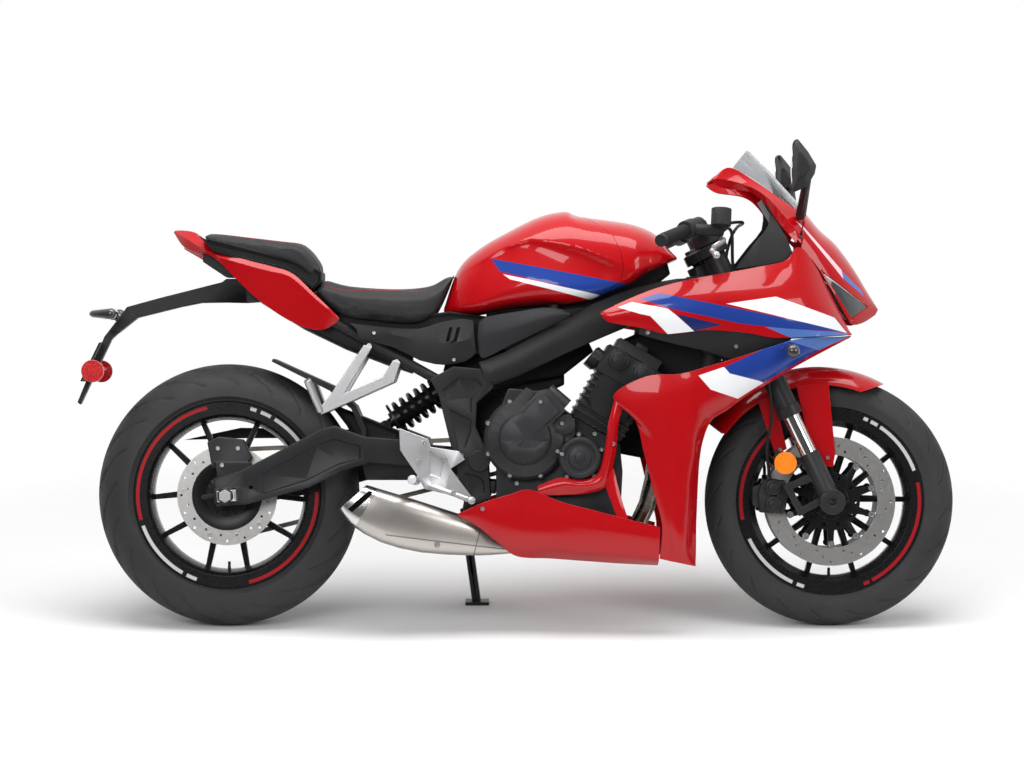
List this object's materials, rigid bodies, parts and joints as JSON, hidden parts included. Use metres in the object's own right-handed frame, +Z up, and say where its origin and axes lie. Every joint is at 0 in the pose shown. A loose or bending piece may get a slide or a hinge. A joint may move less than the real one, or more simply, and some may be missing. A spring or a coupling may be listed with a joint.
{
  "type": "sport bike",
  "caption": "Middleweight sport motorcycle with full fairings on its side stand; wheels spin, the bars steer and the stand folds.",
  "frame": {"origin": "centre of the bounding box on the floor, under the bike as it leans on its side stand", "axes": "+X forward, +Y to the rider's left, +Z up from the floor"},
  "size_m": [2.1162, 0.7587, 1.2],
  "materials": {
    "red_paint": "gloss candy red paint with a clear coat",
    "black_plastic": "grained satin black plastic",
    "frame_black": "satin black powder coat",
    "arm_black": "semi-gloss black paint",
    "engine_dark": "dark grey cast aluminium",
    "core_black": "black finned core",
    "exhaust_steel": "warm brushed stainless steel",
    "seat_vinyl": "grained black seat cover",
    "lens_red": "red lens",
    "lens_amber": "orange lens",
    "lens_smoke": "smoked lens",
    "screen": "lightly smoked clear screen",
    "silver_alloy": "satin silver alloy",
    "chain_steel": "dark oiled steel",
    "rotor_steel": "ground steel",
    "chrome_tube": "hard chrome",
    "grip_rubber": "ribbed rubber",
    "hose_rubber": "smooth black hose cover",
    "tyre_rubber": "road tread rubber",
    "rim_black": "gloss black cast alloy"
  },
  "bodies": {
    "chassis": {"main_frame": "frame_black", "subframe": "frame_black", "crankcase": "engine_dark", "cylinder_head": "engine_dark", "engine_covers": "engine_dark", "airbox": "black_plastic", "radiator": "core_black", "header_pipes": "exhaust_steel", "silencer": "exhaust_steel", "fuel_tank": "red_paint", "tank_cover": "red_paint", "knee_panels": "black_plastic", "side_covers": "black_plastic", "rider_seat": "seat_vinyl", "passenger_seat": "seat_vinyl", "tail_cowl": "red_paint", "tail_lamp": "lens_red", "undertray": "black_plastic", "plate_bracket": "black_plastic", "rear_indicators": "lens_smoke", "rear_reflectors": "lens_red", "passenger_pegs": "silver_alloy", "rider_pegs": "silver_alloy", "swingarm": "arm_black", "rear_shock": "arm_black", "drive_chain": "chain_steel", "rear_guards": "black_plastic", "rear_caliper": "rim_black", "nose_cowl": "red_paint", "headlamps": "lens_smoke", "windscreen": "screen", "upper_fairings": "red_paint", "lower_fairings": "red_paint", "inner_cowl": "black_plastic", "mirrors": "black_plastic", "front_indicators": "lens_smoke"},
    "steering": {"yokes": "frame_black", "fork_outers": "arm_black", "fork_inners": "chrome_tube", "fork_feet": "arm_black", "handlebars": "frame_black", "grips": "grip_rubber", "levers": "silver_alloy", "front_fender": "red_paint", "front_calipers": "rim_black", "brake_hoses": "hose_rubber", "fork_reflectors": "lens_amber"},
    "front_wheel": {"front_tyre": "tyre_rubber", "front_rim": "rim_black", "front_rotors": "rotor_steel", "front_carriers": "rim_black"},
    "rear_wheel": {"rear_tyre": "tyre_rubber", "rear_rim": "rim_black", "rear_rotor": "rotor_steel", "rear_sprocket": "chain_steel"},
    "side_stand": {"side_stand": "arm_black"}
  },
  "joints": [
    {"name": "steer", "type": "hinge", "parent": "chassis", "child": "steering", "pos_m": [0.52994, -0.06557, 0.68096], "axis": [-0.4305, 0.1567, 0.8889], "range_deg": [-27, 27]},
    {"name": "front_spin", "type": "hinge", "parent": "steering", "child": "front_wheel", "pos_m": [0.75806, -0.13329, 0.29689], "axis": [0, 0.9848, -0.1736], "continuous": true},
    {"name": "rear_spin", "type": "hinge", "parent": "chassis", "child": "rear_wheel", "pos_m": [-0.69194, -0.13069, 0.31166], "axis": [0, 0.9848, -0.1736], "continuous": true},
    {"name": "stand_fold", "type": "hinge", "parent": "chassis", "child": "side_stand", "pos_m": [-0.12006, -0.00039, 0.19831], "axis": [0, 0.9703, 0.2419], "range_deg": [0, 84]}
  ]
}
